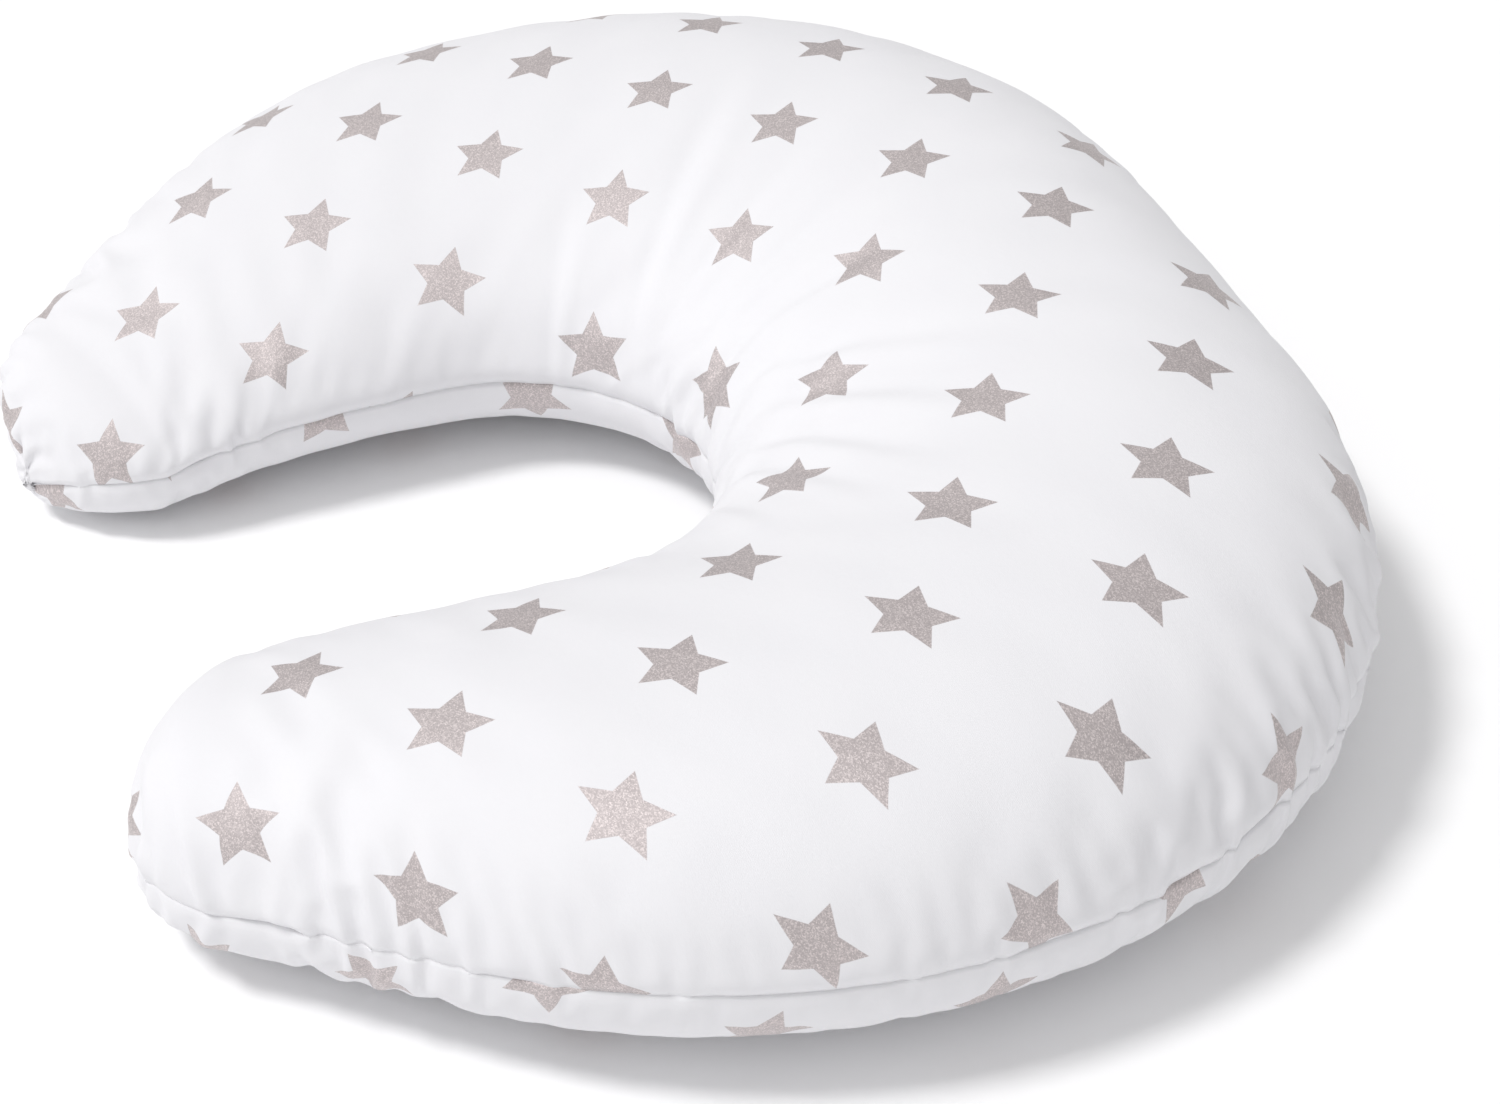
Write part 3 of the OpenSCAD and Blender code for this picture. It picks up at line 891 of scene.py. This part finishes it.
def tube(path, radius, sides=6):
    """Points and faces of a round tube along a path, with rounded ends."""
    along = np.gradient(path, axis=0)
    along /= np.linalg.norm(along, axis=1)[:, None] + 1e-9
    up = np.where(np.abs(along[:, 2:]) > 0.9, [[1.0, 0, 0]], [[0, 0, 1.0]])
    a = np.cross(along, up)
    a /= np.linalg.norm(a, axis=1)[:, None] + 1e-9
    b = np.cross(along, a)
    r = np.full(len(path), radius)
    r[[0, -1]] *= 0.45
    turn = np.arange(sides) * 2 * math.pi / sides
    points = path[:, None] + r[:, None, None] * (
        np.cos(turn)[None, :, None] * a[:, None] + np.sin(turn)[None, :, None] * b[:, None])
    faces = []
    for i in range(len(path) - 1):
        for k in range(sides):
            n = (k + 1) % sides
            faces.append((i * sides + k, i * sides + n, (i + 1) * sides + n, (i + 1) * sides + k))
    faces.append(tuple(range(sides))[::-1])
    faces.append(tuple(range((len(path) - 1) * sides, len(path) * sides)))
    return points.reshape(-1, 3), faces


def join(parts):
    """One set of points and faces from several."""
    points, faces, base = [], [], 0
    for p, f in parts:
        points.append(p)
        faces += [tuple(i + base for i in face) for face in f]
        base += len(p)
    return np.concatenate(points), faces


STITCH_POINTS = 5
# Length, gap and thread radius of the stitches of each kind
SEAM_STITCH = (2.6, 0.9, 0.24)
CASING_STITCH = (2.6, 0.9, 0.3)
HAND_STITCH = (2.4, 2.4, 0.35)
TOP_STITCH = (2.4, 0.7, 0.26)


def stitches(path, length, gap, radius, lean=None):
    """Separate stitches along a path; lean tips every stitch over by that much at its ends."""
    parts = []
    count = int(length_of(path) / (length + gap))
    pitch = length_of(path) / count
    for k in range(count):
        at = k * pitch + gap / 2 + np.linspace(0, pitch - gap, STITCH_POINTS)
        piece = resample(path, at)
        if lean is not None:
            piece = piece + np.linspace(-1, 1, STITCH_POINTS)[:, None] * np.array([lean])
        parts.append(tube(piece, radius))
    return join(parts)


def sew(name, parts, material, node):
    """One piece of several rows of stitches."""
    points, faces = join(parts)
    settle(make_mesh(name, points * MM, faces), material, node)


white_thread = thread("white sewing thread", (0.88, 0.88, 0.9))
seam_thread = thread("white seam thread", (0.86, 0.86, 0.89))


def inside(line, depth):
    """The seam line drawn a little into the pillow."""
    towards = np.stack([rings[:, :, k].mean(axis=1) for k in range(3)], 1) - line
    towards[:, 2] = 0
    towards /= np.linalg.norm(towards, axis=1)[:, None]
    return line + towards * depth


# How far inside a seam its stitches lie, how far outside the closing stitches do, and how those lean
SEAM_IN = 0.9
CASING_SEAM_IN = 0.3
HAND_STITCH_OUT = 0.7
HAND_STITCH_LEAN = (0, 0, 1.4)

first_zip, last_zip = np.nonzero(zip_share())[0][[0, -1]]
outer_line, inner_line = (inside(top_grid[:, column], SEAM_IN) for column in (-1, 0))
seams = (outer_line[:first_zip - 1], outer_line[last_zip + 2:], inner_line)
sew("cover_seam_stitches", [stitches(line, *SEAM_STITCH) for line in seams], seam_thread, "cover_seam_thread")
casing_outer, casing_inner = casing[0][:, -1], casing[0][:, 0]
sew("casing_seam_stitches",
    [stitches(inside(line, CASING_SEAM_IN), *CASING_STITCH) for line in (casing_outer, casing_inner)],
    seam_thread, "casing_seam_thread")

# The casing was filled through this stretch of its seam and then closed by hand. In degrees about the +X
# shoulder's centre.
CLOSED_FROM, CLOSED_TO = 28.0, 62.0
direction = np.degrees(np.arctan2(casing_outer[:, 1] - PLAN["sy"], casing_outer[:, 0] - PLAN["sx"]))
by_hand = (SIDE > 0) & (direction > CLOSED_FROM) & (direction < CLOSED_TO)
hand_line = inside(casing_outer, -HAND_STITCH_OUT)[by_hand]
sew("casing_closing_stitches", [stitches(hand_line, *HAND_STITCH, lean=HAND_STITCH_LEAN)],
    seam_thread, "casing_closing_stitch")

# ---------------------------------------------------------------- zip
def on_shoulder(radius, directions, z):
    """Points about the -X shoulder's centre; directions in degrees."""
    a = np.radians(directions)
    return np.stack([-PLAN["sx"] + radius * np.cos(a), PLAN["sy"] + radius * np.sin(a), ZIP_Z + z + 0 * a], 1)


# Topstitching: how far from the folded edge, and how far off the cloth, outwards and up or down
TOPSTITCH_IN = 2.0
TOPSTITCH_OUT = 0.12
TOPSTITCH_UP = 0.1


def topstitch_row(sheet, upward):
    """A path on the cover, a little way from the folded edge at the zip."""
    rows = np.nonzero(zip_share() >= 0.999)[0]
    path = []
    for i in rows:
        line = sheet[i, ::-1]
        run = np.r_[0, np.cumsum(np.linalg.norm(np.diff(line, axis=0), axis=1))]
        path.append([np.interp(TOPSTITCH_IN, run, line[:, k]) for k in range(3)])
    path = np.array(path)
    out = path - np.array([-PLAN["sx"], PLAN["sy"], 0])
    out[:, 2] = 0
    out = out / np.linalg.norm(out, axis=1)[:, None] * TOPSTITCH_OUT
    return path + out + np.array([0, 0, upward * TOPSTITCH_UP])


top_rows = (topstitch_row(open_top, 1), topstitch_row(open_bottom, -1))
sew("zip_topstitching", [stitches(line, *TOP_STITCH) for line in top_rows], white_thread, "zip_topstitch")

# Coils: step, wire radius, how far each crosses the joint line, radius of their arc, half their depth,
# their two ends as directions, and points to a turn
COIL_PITCH = 1.4
COIL_WIRE = 0.3
COIL_OVERLAP = 0.35
COIL_R = 226.35
COIL_DEEP = 0.65
COIL_SPAN = (101.7, 176.3)
COIL_POINTS = 14
coil_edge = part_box("zip_coil_upper")[1].z / MM - ZIP_Z
coil_middle = (coil_edge - COIL_OVERLAP) / 2
coil_half = (coil_edge + COIL_OVERLAP) / 2 - COIL_WIRE
nylon = plastic("zip coil nylon", (0.84, 0.84, 0.86), 0.35)
for name, node, sign, phase in (("zip_spiral_upper", "zip_coil_upper", 1, 0.0),
                                ("zip_spiral_lower", "zip_coil_lower", -1, math.pi)):
    turns = int(math.radians(COIL_SPAN[1] - COIL_SPAN[0]) * COIL_R / COIL_PITCH)
    t = np.linspace(0, 1, turns * COIL_POINTS + 1)
    a = 2 * math.pi * turns * t + phase
    path = on_shoulder(COIL_R + COIL_DEEP * np.sin(a), COIL_SPAN[0] + t * (COIL_SPAN[1] - COIL_SPAN[0]),
                       sign * (coil_middle + coil_half * np.cos(a)))
    points, faces = tube(path, COIL_WIRE, 5)
    spiral = make_mesh(name, points * MM, faces)
    settle(spiral, nylon, node)

# ---------------------------------------------------------------- CAD pieces that stay
def dress(node, material, edge=0.0):
    """A better material on a CAD piece, and softened edges."""
    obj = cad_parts[node]
    if not obj.material_slots:
        obj.data.materials.append(material)
    for place in obj.material_slots:
        place.material = material
    if edge:
        bevel = obj.modifiers.new("soft edges", "BEVEL")
        bevel.width = edge * MM
        bevel.segments = 2
        bevel.angle_limit = math.radians(35)


tape = tape_weave("zip tape")
satin = plain_cloth("label satin", (0.88, 0.88, 0.9), (0.82, 0.82, 0.85), 0.35, 0.4)
enamel = metal("white zip slider", (0.82, 0.82, 0.84), 0.3, 0.0)
bright = metal("zip stop metal", (0.78, 0.78, 0.8), 0.3, 1.0)
for node in ("zip_tape_upper", "zip_tape_lower"):
    dress(node, tape)
for node in ("cover_care_label", "inner_care_label"):
    dress(node, satin)
for node in ("zip_slider", "zip_pull_tab"):
    dress(node, enamel, 0.25)
for node in ("zip_top_stops", "zip_bottom_stop"):
    dress(node, bright, 0.15)
dress("zip_bar_tacks", white_thread, 0.1)

# ---------------------------------------------------------------- floor, light and camera
FLOOR_SIDE = 6.0
FLOOR_DROP = 0.4 * MM
ROOM_LIGHT = 0.42
ROOM_CONTRAST = 0.42
ROOM_LIGHT_FROM = (0.15, -0.5, 0.9)
# The camera: its place round the pillow in degrees, what it looks at and from how far, in millimetres, its
# focal length and how much lower the picture's middle is, as shares of the picture's width
CAMERA_AROUND, CAMERA_UP, CAMERA_TILT = 71.16, 36.67, -0.93
CAMERA_TARGET = (42.16, 14.6, 50.0)
CAMERA_AWAY = 1242.7
CAMERA_FOCUS = 3290.8 / 1500
CAMERA_SHIFT = -40.85 / 1500


def lay_floor():
    side = FLOOR_SIDE
    floor = make_mesh("floor", [(-side, -side, 0), (side, -side, 0), (side, side, 0), (-side, side, 0)],
                      [(0, 1, 2, 3)])
    floor.location.z = -FLOOR_DROP
    m = Finish("studio floor", Base_Color=(0.96, 0.96, 0.965, 1), Roughness=0.9)
    m.shader.inputs["Specular IOR Level"].default_value = 0.2
    give(floor, m.material)


def add_sun(name, azimuth, elevation, strength, softness, colour):
    """A distant light: its azimuth, clockwise from +Y, its elevation and its width are in degrees."""
    data = bpy.data.lights.new(name, "SUN")
    data.energy = strength
    data.angle = math.radians(softness)
    data.color = colour
    a, e = math.radians(azimuth), math.radians(elevation)
    towards = Vector((math.sin(a) * math.cos(e), math.cos(a) * math.cos(e), math.sin(e)))
    light = bpy.data.objects.new(name, data)
    light.rotation_mode = "QUATERNION"
    light.rotation_quaternion = towards.to_track_quat("Z", "Y")
    bpy.context.scene.collection.objects.link(light)


def light_studio():
    """A bright room, lighter overhead and beyond the arms' ends, and one big soft light from there."""
    world = bpy.data.worlds.new("studio")
    world.use_nodes = True
    tree = world.node_tree
    background = tree.nodes["Background"]
    background.inputs["Color"].default_value = (1.0, 0.997, 1.0, 1)
    place = tree.nodes.new("ShaderNodeTexCoord")
    toward = tree.nodes.new("ShaderNodeVectorMath")
    toward.operation = "DOT_PRODUCT"
    toward.inputs[1].default_value = Vector(ROOM_LIGHT_FROM).normalized()
    tree.links.new(place.outputs["Generated"], toward.inputs[0])
    level = tree.nodes.new("ShaderNodeMath")
    level.operation = "MULTIPLY_ADD"
    level.inputs[1].default_value = ROOM_CONTRAST
    level.inputs[2].default_value = ROOM_LIGHT
    tree.links.new(toward.outputs["Value"], level.inputs[0])
    tree.links.new(level.outputs[0], background.inputs["Strength"])
    bpy.context.scene.world = world
    add_sun("key", 184, 62, 1.5, 13, (1.0, 0.995, 0.99))
    bpy.context.scene.view_settings.view_transform = "Standard"
    bpy.context.scene.view_settings.look = "None"


def set_camera():
    """Three-quarter view from the end of the +X arm, as in a catalogue picture."""
    azimuth, elevation, tilt = (math.radians(a) for a in (CAMERA_AROUND, CAMERA_UP, CAMERA_TILT))
    target = Vector(CAMERA_TARGET) * MM
    back = Vector((math.sin(azimuth) * math.cos(elevation), -math.cos(azimuth) * math.cos(elevation),
                   math.sin(elevation)))
    right = (-back).cross(Vector((0, 0, 1))).normalized()
    up = right.cross(-back)
    right, up = (right * math.cos(tilt) + up * math.sin(tilt), up * math.cos(tilt) - right * math.sin(tilt))
    data = bpy.data.cameras.new("camera")
    data.sensor_width = 36.0
    data.lens = CAMERA_FOCUS * data.sensor_width
    data.shift_y = CAMERA_SHIFT
    data.clip_start, data.clip_end = 0.05, 30
    camera = bpy.data.objects.new("camera", data)
    camera.matrix_world = Matrix.Translation(target + back * CAMERA_AWAY * MM) @ \
        Matrix((right, up, back)).transposed().to_4x4()
    bpy.context.scene.collection.objects.link(camera)
    bpy.context.scene.camera = camera


lay_floor()
light_studio()
set_camera()
